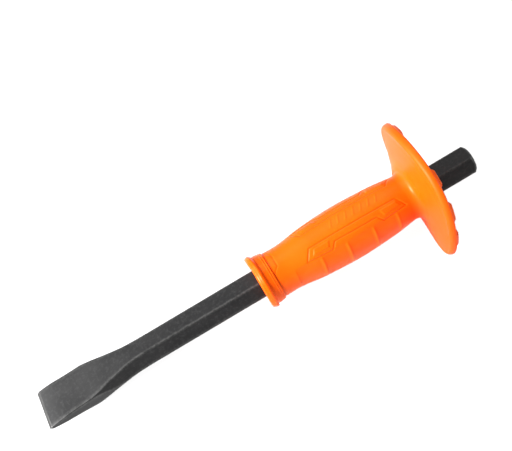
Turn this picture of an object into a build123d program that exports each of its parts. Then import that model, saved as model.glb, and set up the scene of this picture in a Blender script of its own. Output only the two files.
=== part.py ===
from build123d import *
import os
from math import cos, radians, tan

# A cold chisel: one forged bar of hexagonal tool steel, and a soft one-piece grip with a
# hand guard that is pushed on over the striking end.
#
# Frame, in millimetres: the tool lies along X, with the centre of the striking face at the
# origin and the cutting edge at -X. Z is normal to the blade's broad faces, Y runs across
# the blade, and two flats of the hexagon face +Z and -Z. The fingers close on the -Y side.

# ---- Bar ------------------------------------------------------------------------------
bar_length = 305.0
across_flats = 18.0
flat_half = across_flats / 2
corner_half = flat_half / cos(radians(30))
side_lean = tan(radians(30))  # how far a hexagon's side face leans in for each unit of height

head_face_r = 7.8  # flat part of the striking face
head_chamfer = corner_half + 1.0 - head_face_r  # the 45 degree chamfer clears the corners

blade_start = -229.0  # forging starts to thin the bar here
edge_root = -303.0  # the ground cutting bevel starts here
edge_root_half = 1.5
edge_land_half = 0.1
taper_side = [(blade_start, flat_half), (-250.0, 8.0), (-272.0, 5.6), (edge_root, edge_root_half)]

# Half-width at mid-height: the hexagon's corner, then where the forging spreads it
spread_side = [(-231.0, corner_half), (-241.0, 10.75), (-253.6, 12.3), (-267.0, 14.6), (-290.0, 17.0)]

# Half-width to which the sides of the blade are trimmed
trim_side = [(-240.0, 12.2), (-262.0, 12.4), (-282.0, 12.6), (-297.0, 13.1), (-303.4, 13.0)]
edge_half_width = 12.2
untrimmed_half = 14.0

# ---- Grip and guard -------------------------------------------------------------------
bore_clearance = 0.05  # between each flat of the bar and its wall of the bore
grip_front = -150.7
bead_side_r = 16.4
bead_r = 18.0
bead_back = -146.2
groove_r = 15.9
band_front = -145.2
band_front_r = 16.6
band_back = -141.2
band_back_r = 15.6
waist = [
    (-140.6, 15.15), (-133.0, 14.8), (-111.0, 17.1), (-88.0, 18.15),
    (-76.0, 17.8), (-64.0, 17.1), (-49.0, 15.2),
]

rim_mid = -36.6
rim_r = 45.0
rim_round = 2.4
rim_front = (rim_mid - rim_round, rim_r - rim_round)
rim_back = (rim_mid + 2.3, rim_r - rim_round - 0.7)
guard_face = [(-43.7, 20.0), (-40.3, 30.0), (-38.7, 38.0)]  # the shallow cone on the guard's front
flare_end = guard_face[0]
flare_way = (0.5, 1)  # direction in which the sleeve's flare runs into the cone
web_thickness = 2.8
hub_r = 14.6
hub_back = -30.0
hub_chamfer = 1.0

rib_count = 12
rib_thickness = 2.0
rib_inner_r = 13.0
rib_outer_r = 37.0
rib_hub_height = 5.5
rib_rim_height = 1.2

lug_width = 11.0
lug_gap = 4  # one place in this many, counted from the top, has a rib but no lug
lug_inner_r = 37.5
lug_outer_r = 42.8
lug_root = rim_mid - 0.6
lug_back = rim_back[0] + 1.2

finger_hollows = [(-119.5, 16.2), (-100.4, 17.8), (-81.6, 18.05), (-64.6, 17.1)]  # place, grip radius there
hollow_depth = 0.6
hollow_half_length = 8.0
hollow_rise = 1.1
hollow_offset = 3.0  # the ring that cuts a hollow is shifted away from the fingers by this


def swept_plan(face, direction, reach):
    """A plan outline swept up and down along a direction in the YZ plane."""
    backward = tuple(-value for value in direction)
    return extrude(face, amount=reach, dir=direction) + extrude(face, amount=reach, dir=backward)


def mirrored_face(side):
    """A flat face between a chain of edges on the +Y side and its mirror image."""
    chain = Wire(side)
    start, end = chain @ 0, chain @ 1
    closing = [Line(start, (start.X, -start.Y)), Line(end, (end.X, -end.Y))]
    return make_face(Wire([*chain.edges(), *mirror(chain, about=Plane.XZ).edges(), *closing]))


def forged_bar():
    """Hexagonal bar, thinned and spread into the blade, with a turned chamfer on the head."""
    land = (-bar_length, edge_land_half)
    side = [
        Line((0, flat_half), taper_side[0]),
        Spline(taper_side, tangents=[(-1, 0), (-1, -0.13)]),
        Line(taper_side[-1], land),
    ]
    thickness = extrude(Plane.XZ * mirrored_face(side), amount=untrimmed_half * 2, both=True)

    side = [
        Line((0, corner_half), spread_side[0]),
        Spline(spread_side, tangents=[(-1, 0), (-1, 0.08)]),
        Line(spread_side[-1], (-bar_length, spread_side[-1][1])),
    ]
    spread = mirrored_face(side)
    reach = 2 * across_flats
    rising = swept_plan(spread, (0, -side_lean, 1), reach)
    falling = swept_plan(spread, (0, side_lean, 1), reach)

    side = [
        Line((0, untrimmed_half), (trim_side[0][0], untrimmed_half)),
        Line((trim_side[0][0], untrimmed_half), trim_side[0]),
        Spline(trim_side),
        Line(trim_side[-1], (-bar_length, edge_half_width)),
    ]
    plan = swept_plan(mirrored_face(side), (0, 0, 1), reach)

    outline = Polyline(
        (0, 0), (0, head_face_r), (-head_chamfer, head_face_r + head_chamfer),
        (-bar_length, head_face_r + head_chamfer + 10), (-bar_length, 0), close=True,
    )
    turned = revolve(make_face(outline), axis=Axis.X)
    return thickness & rising & falling & plan & turned


def grip_profile():
    """Half outline of the sleeve, collar and guard, from the axis round to the axis again."""
    web_outer = (guard_face[-1][0] + web_thickness, guard_face[-1][1])
    web_middle = (guard_face[1][0] + web_thickness, guard_face[1][1])
    web_inner = (flare_end[0] + web_thickness, flare_end[1])
    hub_root = (web_inner[0] + 1.6, hub_r)
    bead_top = ((grip_front + bead_back) / 2, bead_r)
    edges = [
        Line((grip_front, 0), (grip_front, bead_side_r)),
        ThreePointArc((grip_front, bead_side_r), bead_top, (bead_back, bead_side_r)),
        Polyline(
            (bead_back, bead_side_r), (bead_back, groove_r), (band_front, groove_r),
            (band_front, band_front_r), (band_back, band_back_r), waist[0],
        ),
        Spline([*waist, flare_end], tangents=[(1, -0.1), flare_way]),
        Spline([*guard_face, rim_front], tangents=[flare_way, (0, 1)]),
        ThreePointArc(rim_front, (rim_mid, rim_r), rim_back),
        Polyline(
            rim_back, web_outer, web_middle, web_inner, hub_root, (hub_back - hub_chamfer, hub_r),
            (hub_back, hub_r - hub_chamfer), (hub_back, 0), (grip_front, 0),
        ),
    ]
    return make_face([edge for curve in edges for edge in curve.edges()])


def guard_rib():
    """One radial rib on the back of the guard, tapering from the hub to the rim, on +Z."""
    root = flare_end[0] + 0.5
    outline = Polyline(
        (root, rib_inner_r), (flare_end[0] + web_thickness + rib_hub_height, rib_inner_r),
        (rim_back[0] + rib_rim_height, rib_outer_r), (rim_back[0] - web_thickness, rib_outer_r), close=True,
    )
    return extrude(Plane.XZ * make_face(outline), amount=rib_thickness / 2, both=True)


def guard_lug():
    """One raised lug on the back of the rim, on +Z."""
    depth = lug_back - lug_root
    lug = Pos(lug_root + depth / 2, 0, (lug_inner_r + lug_outer_r) / 2) * Box(
        depth, lug_width, lug_outer_r - lug_inner_r
    )
    return chamfer(lug.faces().sort_by(Axis.X)[-1].edges(), 1.0)


def finger_hollow(place, surface_r):
    """A shallow ring of circular section that bites only into the -Y side of the grip."""
    bottom = surface_r - hollow_depth
    top = bottom + hollow_rise
    start, end = (place - hollow_half_length, top), (place + hollow_half_length, top)
    above = [(x, top + hollow_rise) for x, _ in (end, start)]
    cut = ThreePointArc(start, (place, bottom), end)
    section = make_face([cut, *Polyline(end, *above, start).edges()])
    centre_line = Axis((0, -hollow_offset, 0), (1, 0, 0))
    return mirror(revolve(section, axis=centre_line), about=Plane.XZ)


def moulded_grip():
    """Sleeve, collar and hand guard in one moulding, with a hexagonal bore."""
    grip = revolve(grip_profile(), axis=Axis.X)
    limit = Pos(rim_mid, 0, 0) * Rot(0, 90, 0) * Cylinder(lug_outer_r, 4 * rim_r)
    for index in range(rib_count):
        turn = Rot(index * 360 / rib_count, 0, 0)
        grip += turn * guard_rib()
        if index % lug_gap:
            grip += turn * (guard_lug() & limit)

    for place, surface_r in finger_hollows:
        grip -= finger_hollow(place, surface_r)

    bore_section = RegularPolygon(flat_half + bore_clearance, 6, major_radius=False)
    bore = extrude(Plane.YZ * bore_section, amount=2 * bar_length, both=True)
    return grip - bore


os.makedirs("parts", exist_ok=True)
export_step(forged_bar(), "parts/chisel_bar.step")
export_step(moulded_grip(), "parts/grip_guard.step")
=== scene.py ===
from math import cos, radians, sin, tan

import bmesh
import bpy
import numpy as np
from mathutils import Matrix, Vector


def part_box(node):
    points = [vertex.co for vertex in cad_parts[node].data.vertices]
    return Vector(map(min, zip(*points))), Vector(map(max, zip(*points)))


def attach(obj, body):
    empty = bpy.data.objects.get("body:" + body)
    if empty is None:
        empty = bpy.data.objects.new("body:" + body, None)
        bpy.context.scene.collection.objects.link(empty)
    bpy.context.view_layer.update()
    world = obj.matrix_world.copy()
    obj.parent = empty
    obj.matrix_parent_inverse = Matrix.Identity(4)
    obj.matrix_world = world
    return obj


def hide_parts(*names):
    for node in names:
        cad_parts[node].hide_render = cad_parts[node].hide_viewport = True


# A cold chisel with a push-on grip and hand guard. Lengths in this script are millimetres in
# the frame of the CAD model, and lamps are placed in metres. X runs along the tool with the
# striking face at 0 and the cutting edge at -X, and Z is normal to the blade's broad faces.
# Angles round the bar, called turn, are in degrees from +Z towards -Y, which is the side that
# the fingers close on.

MM = 0.001

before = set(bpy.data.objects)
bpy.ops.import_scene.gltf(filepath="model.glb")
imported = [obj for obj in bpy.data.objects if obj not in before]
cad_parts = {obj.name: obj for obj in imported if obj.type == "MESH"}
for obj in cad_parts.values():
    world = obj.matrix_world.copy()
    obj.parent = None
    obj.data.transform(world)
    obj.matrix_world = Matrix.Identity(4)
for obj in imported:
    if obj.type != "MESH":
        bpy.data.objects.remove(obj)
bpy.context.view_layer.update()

bar_low, bar_high = (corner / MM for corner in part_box("chisel_bar"))
grip_low, grip_high = (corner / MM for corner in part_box("grip_guard"))

# ---- Bar dimensions -------------------------------------------------------------------
TIP = bar_low.x
FLAT_HALF = bar_high.z
SIDE_LEAN = tan(radians(30))  # how far a side face leans in for each unit of height
CORNER_HALF = FLAT_HALF / cos(radians(30))
BEVEL_ROOT = -303.0

# Outlines of the bar from the head towards the edge: (place along X, half-size)
TAPER = [
    (-229.0, FLAT_HALF), (-239.0, 8.75), (-250.0, 8.0), (-272.0, 5.6), (BEVEL_ROOT, 1.5), (TIP, 0.1),
]
SPREAD = [
    (-231.0, CORNER_HALF), (-241.0, 10.75), (-253.6, 12.3), (-267.0, 14.6), (-290.0, 17.0), (TIP, 17.0),
]
TRIM = [(-240.0, 12.2), (-262.0, 12.4), (-282.0, 12.6), (-297.0, 13.3), (-303.4, 13.4), (TIP, 12.8)]
NARROWEST = 0.3  # least width of a facet of the section
TRIM_SHARE = 0.75  # most of the blade's thickness that the trimmed side may take

EDGE_ROUND = 0.45  # how far each forged edge is broken, along both of its faces
FACE_POINTS = [7, 3, 7, 12, 7, 3, 7, 12]  # points between one rounded corner and the next
HEAD_FACE_R = 7.8  # flat part of the striking face
HEAD_RIM_LENGTH = 0.6  # the rim of that face is broken over this length
HEAD_RIM_ROUND = 0.35
HEAD_PLACES = [0.0, -0.2, -0.5, -0.9, -1.4, -1.9, -2.3, -2.7, -3.2, -4.0]
SHANK_START, SHANK_END = -6.0, -226.0

# ---- Grip dimensions ------------------------------------------------------------------
GRIP_FRONT = grip_low.x
GRIP_BACK = grip_high.x
BORE_FLAT_HALF = FLAT_HALF + 0.05

# The collar's bead: (share of its width, radius)
BEAD = [(0.0, 15.9), (0.05, 16.5), (0.2, 17.15), (0.45, 17.6), (0.72, 18.0), (0.88, 17.8), (1.0, 16.5)]
BEAD_WIDTH = 4.5

# Outlines of the grip from the front: (place along X, radius)
GROOVE = [(-146.0, 16.4), (-145.8, 16.32), (-145.5, 16.34), (-145.2, 16.45), (-144.9, 16.5)]
WAIST = [(-140.6, 15.15), (-133.0, 14.8), (-111.0, 17.1), (-88.0, 18.15), (-64.0, 17.1), (-48.4, 15.15)]
FLARE = [(-48.4, 15.15), (-42.5, 14.8), (-41.7, 20.4)]  # sleeve's end, turning point, start of the guard

# The conical band behind the groove, with two fine raised rings
BAND_START, BAND_END = -144.6, -140.7
BAND_R = 16.5
BAND_TAPER = 0.22
BAND_RINGS = [-142.2, -140.9]
RING_HEIGHT, RING_HALF = 0.24, 0.28

# ---- Guard dimensions -----------------------------------------------------------------
# The guard's front: (radius, place along X)
GUARD_FACE = [
    (20.4, -41.7), (25.0, -41.05), (30.0, -40.25), (36.0, -39.2), (39.8, -38.6), (41.4, -38.75),
    (42.3, -38.98),
]
RIM_R = min(grip_high.z, -grip_low.z)
RIM_TOP = -35.6  # where the rolled rim is widest
RIM_FRONT = (3.4, 2.8)  # how far the roll reaches in front of that, and how far in it falls there
RIM_BACK = (1.0, 1.6)  # the same behind it
WEB = 2.8
WEB_EDGE_R = 41.5
HUB_R = 14.6
HUB_FILLET = 4.6

# Ribs and lugs: radii between which they rise and fall, and angles off their middle between which
# their sides slope down
RIB_COUNT = 12
RIB_TOP = [(13.0, -35.4), (37.0, -33.0)]  # (radius, place along X)
RIB_SPAN = (15.0, 17.5, 37.0, 38.0)
RIB_SIDE = (1.9, 3.2)
LUG_TOP = -32.6
LUG_SPAN = (36.6, 37.8, 43.2, 44.4)
LUG_SIDE = (6.4, 8.0)
LUG_GAP = 4  # one rib in this many has no lug at the rim

# How the soft guard has warped along X, towards the head: (waves round the rim, size, turn of a crest)
GUARD_WAVES = [(1, 3.0, -104), (2, 1.5, 40), (3, 0.55, 44)]
GUARD_SET = 0.5
LEAN_START = 22.5  # radius at which the warp begins
FAR_SIDE = -75  # turn at which the guard's root is drawn forward and its rim is thickest
ROOT_PULL = 2.1
ROOT_SPAN = (15.3, 18.0, 17.5, 26.0)
RIM_SWELL = 0.35  # how much further back the rim's roll reaches, on average
RIM_SWING = 0.65  # how much that varies from its far side to its near side

# ---- Moulded detail: corners are (place along X, turn) --------------------------------
PAD_OUTLINE = [
    (-119.3, 43), (-114.7, 18), (-55.0, 19.5), (-51.0, 44.5), (-66.9, 47.5), (-70.2, 34), (-99.0, 32),
    (-102.4, 45.5),
]
FRONT_PAD = [(-115.2, 38), (-112.4, 23.5), (-101.6, 23.5), (-103.4, 38)]
BACK_PAD = [(-67.2, 24), (-55.8, 24), (-53.4, 38), (-65.8, 40)]
PAD_MIDDLE = 2.0  # turn about which the pads are mirrored
PAD_R = 17.6  # radius at which the detail's widths are measured
PAD_RISE = 0.35

SLASH = [(-98.0, 9), (-96.4, 9), (-93.6, -9), (-95.2, -9)]
SLASH_COUNT = 7
SLASH_PITCH = 5.2
SLASH_RISE = 0.17

COLLAR_TAB = [
    (-140.0, 125), (-140.0, 31), (-135.9, 16), (-135.9, -17), (-138.2, -34), (-140.0, -34),
    (-140.0, -125),
]
TAB_SHARE = 0.7  # depth of the collar's line, as a share of the pads' line
LINE_HALF = 0.42
LINE_DEPTH = 0.36

RIDGES = [-128.5, -111.0, -93.4, -75.3, -58.8]  # places of the ridges between the finger hollows
RIDGE_SLANT = 0.8
FINGER_TURN = 75  # middle of the finger side
HOLLOW_DEPTH = 0.6
HOLLOW_SPAN = (43, 56, 94, 114)  # turns between which the hollows begin and end
HANDLED_AND_SHADE_SPAN = (30, 85, 150, 215)  # the same for the side that the hand rubs dull and that painted shade darkens

# ---- Stage ----------------------------------------------------------------------------
FLOOR_HALF = 6000.0
FLOOR_CLEARANCE = 0.6
FLOOR_GLOW = 0.32  # light that the floor gives off, so that it shows as a white ground
FLOOR_LAMP_POWER = 110.0
WORLD_LIGHT = 0.35

# Studio lamps: name, place and size in metres, and power. All of them aim at the middle of the tool.
LAMPS = [
    ("key", (-1.05, -0.08, 0.64), (0.34, 0.34), 33.0),
    ("back", (-1.00, 0.50, 0.60), (0.5, 0.5), 5.0),
    ("top", (-0.10, 0.50, 0.98), (1.8, 0.7), 6.5),
    ("rim", (0.90, -0.30, 0.15), (0.5, 0.5), 2.5),
]
LAMP_TARGET = (-0.15, 0, 0)

CAMERA_X = -149.6
CAMERA_DISTANCE = 531.0
CAMERA_TURN = 30
CAMERA_LENS = 60.5
CAMERA_SHIFT = (0.0415, 0.0258)
AIM_PAST_BAR = 31.5  # the camera aims past the bar by this much, on its far side
BAR_RISE = 30.69  # angle at which the bar rises to the right in the picture


# ---- Curves and meshes ----------------------------------------------------------------
def smooth_curve(knots, places):
    """Values of a monotone cubic through (place, value) knots, flat beyond its two ends."""
    knots = sorted(knots)
    x = np.array([k[0] for k in knots])
    y = np.array([k[1] for k in knots])
    run = np.diff(x)
    rise = np.diff(y) / run
    slope = np.zeros(len(x))
    same_way = rise[:-1] * rise[1:] > 0
    first, second = 2 * run[1:] + run[:-1], run[1:] + 2 * run[:-1]
    safe_before = np.where(same_way, rise[:-1], 1.0)
    safe_after = np.where(same_way, rise[1:], 1.0)
    mean = (first + second) / (first / safe_before + second / safe_after)
    slope[1:-1] = np.where(same_way, mean, 0.0)
    slope[0], slope[-1] = rise[0], rise[-1]
    at = np.clip(places, x[0], x[-1])
    k = np.clip(np.searchsorted(x, at) - 1, 0, len(x) - 2)
    t = (at - x[k]) / run[k]
    return (
        (2 * t**3 - 3 * t**2 + 1) * y[k] + (t**3 - 2 * t**2 + t) * run[k] * slope[k]
        + (3 * t**2 - 2 * t**3) * y[k + 1] + (t**3 - t**2) * run[k] * slope[k + 1]
    )


def ease(value, start, end):
    """0 before start, 1 after end, and a smooth step between them."""
    t = np.clip((value - start) / (end - start), 0.0, 1.0)
    return t * t * (3 - 2 * t)


def window(value, rise_start, rise_end, fall_start, fall_end):
    """A smooth rise from 0 to 1, and a smooth fall to 0 again."""
    return ease(value, rise_start, rise_end) * (1 - ease(value, fall_start, fall_end))


def bell(value, middle, half):
    """1 at the middle, falling smoothly to nothing on both sides."""
    return np.exp(-(((value - middle) / half) ** 2))


def spaced(start, end, step):
    """Places from start up to but not including end, evenly spaced at about step."""
    count = max(1, round(abs(end - start) / step))
    return list(np.linspace(start, end, count, endpoint=False))


def ring_mesh(name, rings, loop=False, sharp_degrees=40.0):
    """A mesh of quads over closed rings of points, joined from the last ring to the first if loop."""
    rings = np.asarray(rings)
    count, around = rings.shape[:2]
    steps = count if loop else count - 1
    here = np.arange(around)
    after = (here + 1) % around
    quads = []
    for i in range(steps):
        this, following = i * around, ((i + 1) % count) * around
        quads.append(np.stack([this + here, this + after, following + after, following + here], axis=1))
    mesh = bpy.data.meshes.new(name)
    mesh.from_pydata((rings.reshape(-1, 3) * MM).tolist(), [], np.concatenate(quads).tolist())
    if not loop:
        add_caps(mesh, count, around)
    mesh.polygons.foreach_set("use_smooth", [True] * len(mesh.polygons))
    mesh.set_sharp_from_angle(angle=radians(sharp_degrees))
    mesh.validate()
    piece = bpy.data.objects.new(name, mesh)
    bpy.context.scene.collection.objects.link(piece)
    return piece


def add_caps(mesh, count, around):
    """Closes the first and last ring of a ring mesh with one face each."""
    bm = bmesh.new()
    bm.from_mesh(mesh)
    bm.verts.ensure_lookup_table()
    bm.faces.new([bm.verts[i] for i in reversed(range(around))])
    bm.faces.new([bm.verts[(count - 1) * around + i] for i in range(around)])
    bm.to_mesh(mesh)
    bm.free()


def paint(piece, name, values):
    """Stores one number per vertex for the materials to read."""
    layer = piece.data.attributes.new(name, "FLOAT", "POINT")
    layer.data.foreach_set("value", np.asarray(values, np.float32).ravel())


# ---- Node materials -------------------------------------------------------------------
class Nodes:
    """A short way to write a node material. Values are numbers, colours or other nodes' outputs."""

    def __init__(self, name):
        self.material = bpy.data.materials.new(name)
        self.material.use_nodes = True
        self.tree = self.material.node_tree
        self.shader = self.tree.nodes["Principled BSDF"]
        self.place = self.add("ShaderNodeTexCoord").outputs["Object"]

    def add(self, kind, **settings):
        node = self.tree.nodes.new(kind)
        for key, value in settings.items():
            setattr(node, key, value)
        return node

    def put(self, socket, value):
        """Links an output to the socket, or sets the socket to a plain value."""
        if isinstance(value, bpy.types.NodeSocket):
            self.tree.links.new(value, socket)
        else:
            socket.default_value = value

    def noise(self, scale, detail=3.0, roughness=0.55, stretch=(1, 1, 1)):
        mapping = self.add("ShaderNodeMapping")
        self.put(mapping.inputs["Vector"], self.place)
        self.put(mapping.inputs["Scale"], stretch)
        node = self.add("ShaderNodeTexNoise")
        self.put(node.inputs["Vector"], mapping.outputs[0])
        self.put(node.inputs["Scale"], scale)
        self.put(node.inputs["Detail"], detail)
        self.put(node.inputs["Roughness"], roughness)
        return node.outputs["Fac"]

    def attribute(self, name):
        return self.add("ShaderNodeAttribute", attribute_name=name).outputs["Fac"]

    def ramp(self, value, low, high, to_low=0.0, to_high=1.0):
        """A smooth step from to_low to to_high, as the value goes from low to high."""
        node = self.add("ShaderNodeMapRange", interpolation_type="SMOOTHSTEP")
        for socket, number in zip(node.inputs[:5], (value, low, high, to_low, to_high)):
            self.put(socket, number)
        return node.outputs[0]

    def math(self, operation, first, second=0.0):
        node = self.add("ShaderNodeMath", operation=operation)
        self.put(node.inputs[0], first)
        self.put(node.inputs[1], second)
        return node.outputs[0]

    def mix(self, factor, first, second):
        node = self.add("ShaderNodeMix", data_type="RGBA")
        self.put(node.inputs[0], factor)
        self.put(node.inputs[6], first)
        self.put(node.inputs[7], second)
        return node.outputs[2]

    def bump(self, height, distance, strength=1.0, under=None):
        """A normal raised by height, over another bump if under is given."""
        node = self.add("ShaderNodeBump")
        self.put(node.inputs["Strength"], strength)
        self.put(node.inputs["Distance"], distance * MM)
        self.put(node.inputs["Height"], height)
        if under is not None:
            self.put(node.inputs["Normal"], under)
        return node.outputs[0]


def coated_steel():
    """Matt black baked coating with a fine grain, rubbed thin on the edges and painted lighter there as
    a highlight, bare on the bevel.
    """
    coating_dark, coating_pale = (0.0030, 0.0030, 0.0034, 1), (0.0125, 0.0123, 0.0125, 1)
    pitted = (0.034, 0.0337, 0.034, 1)
    rubbed_and_highlight = (0.10, 0.099, 0.097, 1)
    steel_dark, steel_pale = (0.05, 0.0495, 0.0485, 1), (0.10, 0.099, 0.0975, 1)

    n = Nodes("coated_steel")
    grain = n.noise(1900.0, 2.0, 0.6)
    speckle = n.noise(520.0, 4.0, 0.7)
    cloud = n.noise(48.0, 5.0, 0.6, stretch=(0.55, 1, 1))
    grinding = n.noise(900.0, 3.0, 0.6, stretch=(1.0, 0.05, 0.05))

    black = n.mix(n.ramp(cloud, 0.3, 0.7), coating_dark, coating_pale)
    black = n.mix(n.ramp(speckle, 0.45, 0.75, 0.0, 0.5), black, pitted)
    # Edges are lighter where the coating is rubbed thin, and also as a painted highlight along them.
    rub_and_highlight = n.math("MULTIPLY", n.attribute("edge"), n.ramp(speckle, 0.30, 0.62, 0.25, 1.0))
    coated = n.mix(n.math("MULTIPLY", rub_and_highlight, 0.55), black, rubbed_and_highlight)
    steel = n.mix(n.ramp(grinding, 0.3, 0.7), steel_dark, steel_pale)
    bare = n.ramp(n.math("ADD", n.attribute("bare"), n.math("MULTIPLY", speckle, 0.22)), 0.56, 0.70)

    n.put(n.shader.inputs["Base Color"], n.mix(bare, coated, steel))
    n.put(n.shader.inputs["Metallic"], n.math("MULTIPLY", bare, 0.9))
    matt = n.ramp(cloud, 0.25, 0.75, 0.40, 0.52)
    n.put(n.shader.inputs["Roughness"], n.ramp(bare, 0.0, 1.0, matt, 0.34))
    n.shader.inputs["Specular IOR Level"].default_value = 0.27
    coarse = n.bump(speckle, 0.07, 0.8)
    n.put(n.shader.inputs["Normal"], n.bump(grain, 0.02, 0.6, under=coarse))
    return n.material


def orange_rubber():
    """Satin moulded rubber with a fine grain, with painted shade in its grooves, duller where it is
    handled, and darker with painted shade on the finger side and over the guard.
    """
    orange_deep, orange_pale = (0.91, 0.100, 0.0008, 1), (0.94, 0.112, 0.0012, 1)
    orange_groove_shade = (0.42, 0.072, 0.0002, 1)
    orange_handled_shade = (0.90, 0.078, 0.0006, 1)

    n = Nodes("orange_rubber")
    grain = n.noise(1500.0, 2.0, 0.5)
    cloud = n.noise(30.0, 4.0, 0.55)
    orange = n.mix(n.ramp(cloud, 0.3, 0.7), orange_deep, orange_pale)
    groove = n.ramp(n.attribute("groove"), 0.15, 0.95)
    # Painted shade: the grooves are darkened in the colour, standing in for shade in them.
    orange = n.mix(n.math("MULTIPLY", groove, 0.72), orange, orange_groove_shade)
    handled_and_shade = n.attribute("handled_and_shade")
    # Painted shade: the finger side and the guard take a darker, redder orange, and the handled parts
    # are also rougher.
    n.put(n.shader.inputs["Base Color"], n.mix(handled_and_shade, orange, orange_handled_shade))
    gloss = n.ramp(cloud, 0.3, 0.7, 0.31, 0.38)
    n.put(n.shader.inputs["Roughness"], n.math("ADD", gloss, n.math("MULTIPLY", handled_and_shade, 0.26)))
    n.shader.inputs["Specular IOR Level"].default_value = 0.24
    n.shader.inputs["Specular Tint"].default_value = (1.0, 0.75, 0.45, 1)
    n.shader.inputs["Subsurface Weight"].default_value = 0.12
    n.shader.inputs["Subsurface Radius"].default_value = (1.0, 0.35, 0.1)
    n.shader.inputs["Subsurface Scale"].default_value = 1.2 * MM
    n.put(n.shader.inputs["Normal"], n.bump(grain, 0.012, 0.35))
    return n.material


def pale_floor():
    """A plain matt floor that glows a little and is hardly mottled."""
    n = Nodes("pale_floor")
    mottle = n.noise(2.2, 2.0)
    n.put(n.shader.inputs["Base Color"], n.mix(mottle, (0.24, 0.24, 0.24, 1), (0.26, 0.26, 0.26, 1)))
    n.shader.inputs["Emission Color"].default_value = (1.0, 1.0, 1.0, 1)
    n.shader.inputs["Emission Strength"].default_value = FLOOR_GLOW
    n.shader.inputs["Roughness"].default_value = 0.9
    n.shader.inputs["Specular IOR Level"].default_value = 0.1
    return n.material


# ---- Bar ------------------------------------------------------------------------------
def bar_corners(place):
    """Corners (y, z) of the right half of the bar's section, from its top face down."""
    height = float(smooth_curve(TAPER, place))
    spread = float(smooth_curve(SPREAD, place))
    trim = float(smooth_curve(TRIM, place)) if place < TRIM[0][0] else CORNER_HALF + 0.5
    top = min(spread - height * SIDE_LEAN, trim - NARROWEST)
    side_z = min(max((spread - trim) / SIDE_LEAN, NARROWEST), TRIM_SHARE * height)
    side_y = min(spread - side_z * SIDE_LEAN, trim)
    return [(top, height), (side_y, side_z), (side_y, -side_z), (top, -height)]


def rounding_share(side):
    """How much of a side of the section the rounding of its corner takes."""
    length = np.linalg.norm(side)
    return min(EDGE_ROUND, 0.45 * length) / length


def rounded_section(place):
    """The bar's section as a ring of points with rounded corners, and how near each is to a corner."""
    right = bar_corners(place)
    corners = np.array(right + [(-y, z) for y, z in reversed(right)])
    points, edge = [], []
    for k, corner in enumerate(corners):
        before, after = corners[k - 1], corners[(k + 1) % len(corners)]
        back, on = before - corner, after - corner
        back_share, on_share = rounding_share(back), rounding_share(on)
        for t in (0.0, 0.25, 0.5, 0.75, 1.0):
            points.append(corner + back * back_share * (1 - t) ** 2 + on * on_share * t**2)
            edge.append(1.0 - abs(2 * t - 1) * 0.45)
        start, end = corner + on * on_share, after - on * on_share
        for step in range(1, FACE_POINTS[k] + 1):
            points.append(start + (end - start) * step / (FACE_POINTS[k] + 1))
            edge.append(0.0)
    return np.array(points), np.array(edge)


def bar_places():
    """Places of the bar's rings: close together on the head, the blade and the cutting bevel."""
    places = HEAD_PLACES + spaced(SHANK_START, SHANK_END, 4.0)
    places += spaced(SHANK_END, BEVEL_ROOT + 0.5, 1.1)
    places += [BEVEL_ROOT + step for step in (0.5, 0.15, -0.15, -0.7)]
    return places + [TIP + 0.7, TIP + 0.15, TIP]


def make_bar():
    """Hexagonal bar with its turned head, forged taper, trimmed blade and ground cutting bevel."""
    rings, edges, bare = [], [], []
    for place in bar_places():
        section, edge = rounded_section(place)
        reach = np.linalg.norm(section, axis=1)
        limit = HEAD_FACE_R - place
        on_rim = place > -HEAD_RIM_LENGTH
        if on_rim:
            limit -= HEAD_RIM_ROUND * (1 + place / HEAD_RIM_LENGTH) ** 2
        turned = np.minimum(1.0, limit / reach)
        if place > SHANK_START:
            # The rim of the turned head counts as an edge, so it gets the rubbed colour and painted
            # highlight too.
            edge = np.maximum(edge, bell(reach, limit, 0.4))
            edge = np.maximum(edge, 1.0 if on_rim else 0.0)
        section = section * turned[:, None]
        rings.append(np.column_stack([np.full(len(section), place), section]))
        edges.append(edge)
        bare.append(np.full(len(section), ease(-place, -BEVEL_ROOT - 0.35, -BEVEL_ROOT + 0.1)))
    rings, edges, bare = add_head_face(rings, edges, bare)
    bar = ring_mesh("bar_forged", rings, sharp_degrees=35.0)
    paint(bar, "edge", edges)
    paint(bar, "bare", bare)
    bar.data.materials.append(coated_steel())
    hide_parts("chisel_bar")
    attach(bar, "bar")
    return bar


def add_head_face(rings, edges, bare):
    """Rings across the flat striking face, ahead of the others."""
    rim = rings[0]
    for share in (0.85, 0.5, 0.12):
        inner = rim.copy()
        inner[:, 1:] *= share
        rings, edges, bare = [inner, *rings], [edges[0] * 0.0, *edges], [bare[0] * 0.0, *bare]
    return rings, edges, bare


# ---- Grip -----------------------------------------------------------------------------
def grip_outline():
    """Points (place, radius) of the moulding's outside, from the front of the bore to its back."""
    points = [(GRIP_FRONT, radius) for radius in (12.0, 14.0, 15.3)]
    share = np.linspace(0, 1, 24)
    points += list(zip(GRIP_FRONT + BEAD_WIDTH * share, smooth_curve(BEAD, share)))
    points += GROOVE
    for x in np.arange(BAND_START, BAND_END, 0.2):
        rings = sum(RING_HEIGHT * bell(x, ring, RING_HALF) for ring in BAND_RINGS)
        points.append((x, BAND_R - (x - BAND_START) * BAND_TAPER + rings))
    sleeve = np.array(spaced(WAIST[0][0], WAIST[-1][0], 0.36))
    points += list(zip(sleeve, smooth_curve(WAIST, sleeve)))
    points += guard_front()
    for angle in np.radians(np.linspace(-80, 78, 23)):
        reach, fall = RIM_FRONT if angle < 0 else RIM_BACK
        points.append((RIM_TOP + reach * sin(angle), RIM_R - fall * (1 - cos(angle))))
    return points + guard_back()


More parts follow.
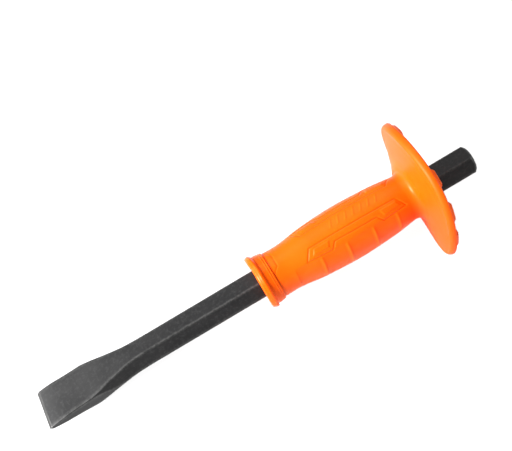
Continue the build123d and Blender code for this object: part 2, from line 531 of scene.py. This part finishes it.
def guard_front():
    """The neck's flare into the guard, then the hollow cone of the guard's front out to its rim."""
    points = []
    start, turn_in, end = (np.array(corner) for corner in FLARE)
    for t in np.linspace(0, 1, 22, endpoint=False):
        points.append(tuple(start * (1 - t) ** 2 + turn_in * 2 * t * (1 - t) + end * t**2))
    radii = np.linspace(GUARD_FACE[0][0], GUARD_FACE[-1][0], 44)
    return points + list(zip(smooth_curve(GUARD_FACE, radii), radii))


def guard_back():
    """From the rim in across the web, down to the hub and out along it to the back face."""
    radii = np.linspace(WEB_EDGE_R, GUARD_FACE[0][0], 34)
    points = list(zip(smooth_curve(GUARD_FACE, radii) + WEB, radii))
    root = points[-1][0]
    for angle in np.radians((20, 40, 60, 80)):  # fillet from the web into the hub
        points.append((root + HUB_FILLET * (1 - cos(angle)), HUB_R + HUB_FILLET * (1 - sin(angle))))
    points += [(x, HUB_R) for x in spaced(root + HUB_FILLET + 0.6, GRIP_BACK - 0.9, 1.2)]
    # the hub's back edge is rounded
    points += [(GRIP_BACK - 0.8, HUB_R - 0.1), (GRIP_BACK - 0.25, HUB_R - 0.4), (GRIP_BACK, HUB_R - 1.0)]
    return points + [(GRIP_BACK, 13.0), (GRIP_BACK, 12.0)]


def grip_turns():
    """Angles round the grip, closer together across the moulded detail."""
    fine = list(np.arange(-52.0, 52.01, 0.8))
    coarse = list(np.arange(54.0, 306.0, 2.0))
    return np.array(fine + coarse)


def hexagon_reach(turns):
    """Distance from the axis to the wall of the hexagonal bore, which has flats facing up and down."""
    nearest = np.radians((turns + 30) % 60 - 30)
    return BORE_FLAT_HALF / np.cos(nearest)


def distance_to_path(place, turn, path, radius, closed=True):
    """Distance over the grip's surface from each point to a path of (place, turn) corners."""
    u, v = place, np.radians(turn) * radius
    best = np.full(u.shape, 1e9)
    corners = np.array([(x, radians(a) * radius) for x, a in path])
    last = len(corners) if closed else len(corners) - 1
    for k in range(last):
        a, b = corners[k], corners[(k + 1) % len(corners)]
        along = b - a
        t = np.clip(((u - a[0]) * along[0] + (v - a[1]) * along[1]) / (along @ along), 0, 1)
        best = np.minimum(best, np.hypot(u - a[0] - t * along[0], v - a[1] - t * along[1]))
    return best


def inside_path(place, turn, path):
    """True where a point lies within a closed path of (place, turn) corners."""
    inside = np.zeros(place.shape, bool)
    for k in range(len(path)):
        (x0, a0), (x1, a1) = path[k - 1], path[k]
        crosses = (a0 > turn) != (a1 > turn)
        inside ^= crosses & (place < (x1 - x0) * (turn - a0) / ((a1 - a0) or 1e-9) + x0)
    return inside


def raised(place, turn, path, height, start, end):
    """Height of a low pad inside a path, which rises from start to end in from its outline."""
    gap = distance_to_path(place, turn, path, PAD_R)
    signed = np.where(inside_path(place, turn, path), gap, -gap)
    return height * ease(signed, start, end)


def moulded_detail(place, turn):
    """Height of the moulded detail over the plain sleeve, and how deep in a groove each point is."""
    turn = (turn + 180) % 360 - 180
    mirrored = np.abs(turn - PAD_MIDDLE)
    on_sleeve = (place < -46) & (place > -141)
    pad_line = bell(distance_to_path(place, mirrored, PAD_OUTLINE, PAD_R), 0, LINE_HALF)
    tab_gap = distance_to_path(place, turn, COLLAR_TAB, WAIST[0][1], closed=False)
    groove = np.maximum(pad_line, TAB_SHARE * bell(tab_gap, 0, LINE_HALF)) * on_sleeve
    rise = np.zeros(place.shape)
    for pad in (FRONT_PAD, BACK_PAD):
        rise += raised(place, mirrored, pad, PAD_RISE, -0.1, 0.9)
    for k in range(SLASH_COUNT):
        slash = [(x + SLASH_PITCH * k, a) for x, a in SLASH]
        rise += raised(place, turn, slash, SLASH_RISE, -0.15, 0.55)
    return rise * on_sleeve - LINE_DEPTH * groove - finger_hollows(place, turn), groove


def finger_hollows(place, turn):
    """Depth of the shallow hollows between slightly slanted ridges on the finger side."""
    slanted = place + RIDGE_SLANT * (turn - FINGER_TURN) / 60
    depth = np.zeros(place.shape)
    for start, end in zip(RIDGES[:-1], RIDGES[1:]):
        share = np.clip((slanted - start) / (end - start), 0, 1)
        depth += HOLLOW_DEPTH * (4 * share * (1 - share)) ** 0.6
    for ridge in RIDGES[1:]:  # a crease in front of each ridge, and a crest on it
        depth += 0.1 * bell(slanted, ridge - 1.9, 1.1)
        depth -= 0.14 * bell(slanted, ridge + 0.2, 0.9)
    return depth * window(turn, *HOLLOW_SPAN)


def guard_relief(place, radius, turn):
    """How far the ribs and rim lugs on the back of the guard stand out along X."""
    pitch = 360 / RIB_COUNT
    off = np.abs((turn + pitch / 2) % pitch - pitch / 2)
    rib = (1 - ease(off, *RIB_SIDE)) * window(radius, *RIB_SPAN)
    rib_height = np.maximum(smooth_curve(RIB_TOP, radius) - place, 0.0)
    lug = (1 - ease(off, *LUG_SIDE)) * window(radius, *LUG_SPAN)
    lug *= np.rint(turn / pitch) % LUG_GAP != 0
    return np.maximum(rib * rib_height, lug * np.maximum(LUG_TOP - place, 0.0))


def guard_shift(place, radius, turn):
    """How far each point of the soft guard has moved along X from its round moulded shape."""
    warp = GUARD_SET
    for waves, size, crest in GUARD_WAVES:
        warp = warp + size * np.cos(waves * np.radians(turn - crest))
    far = np.cos(np.radians(turn - FAR_SIDE))
    lean = ease(radius, LEAN_START, RIM_R)
    root = window(radius, *ROOT_SPAN)
    roll = ease(radius, 36.0, 42.0) * ease(place, RIM_TOP - 2.0, RIM_TOP + 1.0)
    pull = ROOT_PULL * np.clip(far, 0, 1) ** 2
    return lean * warp - root * pull + roll * (RIM_SWELL + RIM_SWING * far)


def handled_and_shade_share(place, turn):
    """How dull the hand has rubbed each point, and how far painted shade darkens it there: most of all
    the finger side of the guard.
    """
    side = window(turn, *HANDLED_AND_SHADE_SPAN)
    on_fingers = 0.35 + 0.65 * ease(place, -60.0, -44.0)
    # Painted shade over the rest of the guard.
    elsewhere = 0.35 * ease(place, -43.0, -40.0)
    return side * on_fingers + (1 - side) * elsewhere


def make_grip():
    """Sleeve, collar and guard as one closed moulding round its hexagonal bore."""
    outline = grip_outline()
    turns = grip_turns()
    angle = np.radians(turns)
    hexagon = hexagon_reach(turns)
    mouth = [(0.5, hexagon), (0.12, hexagon + 0.15), (0.0, hexagon + 0.5)]  # rounded edge of the bore
    rows = [(GRIP_FRONT + depth, radius) for depth, radius in mouth]
    rows += [(place, np.full(len(turns), radius)) for place, radius in outline]
    rows += [(GRIP_BACK - depth, radius) for depth, radius in reversed(mouth)]
    rows += [(place, hexagon) for place in spaced(GRIP_BACK - 8.0, GRIP_FRONT + 8.0, 8.0)]
    outside = range(len(mouth), len(mouth) + len(outline))
    rim_row = len(mouth) + max(range(len(outline)), key=lambda k: outline[k][1])

    rings, grooves = [], []
    for index, (place, radius) in enumerate(rows):
        places = np.full(len(turns), float(place))
        rise = groove = np.zeros(len(turns))
        if index in outside:
            rise, groove = moulded_detail(places, turns)
        relief = guard_relief(places, radius, turns) if index in outside and index > rim_row else 0.0
        places = places + relief + guard_shift(place, radius, turns)
        radius = radius + rise
        rings.append(np.column_stack([places, -radius * np.sin(angle), radius * np.cos(angle)]))
        grooves.append(groove)
    grip = ring_mesh("grip_moulding", rings, loop=True, sharp_degrees=50.0)
    # How deep in a groove each point is, which the rubber uses as painted shade.
    paint(grip, "groove", grooves)
    # Handled dullness and painted shade, for the rubber to read.
    paint(grip, "handled_and_shade", [handled_and_shade_share(ring[:, 0], turns) for ring in rings])
    grip.data.materials.append(orange_rubber())
    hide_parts("grip_guard")
    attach(grip, "grip")
    return grip


# ---- Floor, lamps and camera ----------------------------------------------------------
def make_floor():
    """A pale floor just under the cutting edge and the lowest point of the guard's rim."""
    rim_low = Vector((RIM_TOP, 0, -RIM_R)) * MM
    tip_low = Vector((TIP, 0, -TAPER[-1][1])) * MM
    slope = (rim_low - tip_low).normalized()
    normal = Vector((-slope.z, 0, slope.x)).normalized()
    tilt = Vector((0, 0, 1)).rotation_difference(normal).to_matrix().to_4x4()
    half = FLOOR_HALF * MM
    corners = [(-half, -half, 0), (half, -half, 0), (half, half, 0), (-half, half, 0)]
    mesh = bpy.data.meshes.new("floor")
    mesh.from_pydata(corners, [], [(0, 1, 2, 3)])
    floor = bpy.data.objects.new("floor", mesh)
    floor.matrix_world = Matrix.Translation(tip_low - normal * FLOOR_CLEARANCE * MM) @ tilt
    bpy.context.scene.collection.objects.link(floor)
    mesh.materials.append(pale_floor())
    return floor


def add_lamp(name, place, size, power):
    """A rectangular lamp that faces the middle of the tool."""
    data = bpy.data.lights.new(name, "AREA")
    data.shape = "RECTANGLE"
    data.size, data.size_y = size
    data.energy = power
    lamp = bpy.data.objects.new(name, data)
    bpy.context.scene.collection.objects.link(lamp)
    place = Vector(place)
    turned = (Vector(LAMP_TARGET) - place).to_track_quat("-Z", "Y").to_matrix().to_4x4()
    lamp.matrix_world = Matrix.Translation(place) @ turned


def add_floor_lamp(camera, floor):
    """A lamp at the lens that lights only the floor, and as brightly far away as near."""
    data = bpy.data.lights.new("floor_lamp", "POINT")
    data.shadow_soft_size = 4.0 * MM
    data.energy = FLOOR_LAMP_POWER
    data.use_nodes = True
    nodes = data.node_tree.nodes
    falloff = nodes.new("ShaderNodeLightFalloff")
    data.node_tree.links.new(falloff.outputs["Constant"], nodes["Emission"].inputs["Strength"])
    falloff.inputs["Strength"].default_value = 1.0
    lamp = bpy.data.objects.new("floor_lamp", data)
    lamp.location = camera.matrix_world.translation
    bpy.context.scene.collection.objects.link(lamp)
    lit = bpy.data.collections.new("lit_by_floor_lamp")
    lit.objects.link(floor)
    lamp.light_linking.receiver_collection = lit


def make_lights():
    """Studio lamps and an even white surround."""
    for name, place, size, power in LAMPS:
        add_lamp(name, place, size, power)
    world = bpy.data.worlds.new("studio")
    world.use_nodes = True
    world.node_tree.nodes["Background"].inputs["Color"].default_value = (1, 1, 1, 1)
    world.node_tree.nodes["Background"].inputs["Strength"].default_value = WORLD_LIGHT
    bpy.context.scene.world = world
    bpy.context.scene.view_settings.view_transform = "Standard"


def make_camera():
    """The camera stands square to the bar on the finger side, and sees the bar rise to the right."""
    turn, bar_rise = radians(CAMERA_TURN), radians(BAR_RISE)
    place = Vector((CAMERA_X, -CAMERA_DISTANCE * sin(turn), CAMERA_DISTANCE * cos(turn))) * MM
    target = Vector((CAMERA_X, AIM_PAST_BAR * cos(turn), AIM_PAST_BAR * sin(turn))) * MM
    back = (place - target).normalized()
    along = Vector((1, 0, 0))
    along = (along - back * along.dot(back)).normalized()
    across = back.cross(along)
    right = along * cos(bar_rise) - across * sin(bar_rise)
    up = along * sin(bar_rise) + across * cos(bar_rise)
    data = bpy.data.cameras.new("camera")
    data.sensor_width = 36.0
    data.lens = CAMERA_LENS
    data.shift_x, data.shift_y = CAMERA_SHIFT
    data.clip_start, data.clip_end = 0.01, 50.0
    camera = bpy.data.objects.new("camera", data)
    camera.matrix_world = Matrix.Translation(place) @ Matrix((right, up, back)).transposed().to_4x4()
    bpy.context.scene.collection.objects.link(camera)
    bpy.context.scene.camera = camera
    return camera


make_lights()
add_floor_lamp(make_camera(), make_floor())
make_bar()
make_grip()
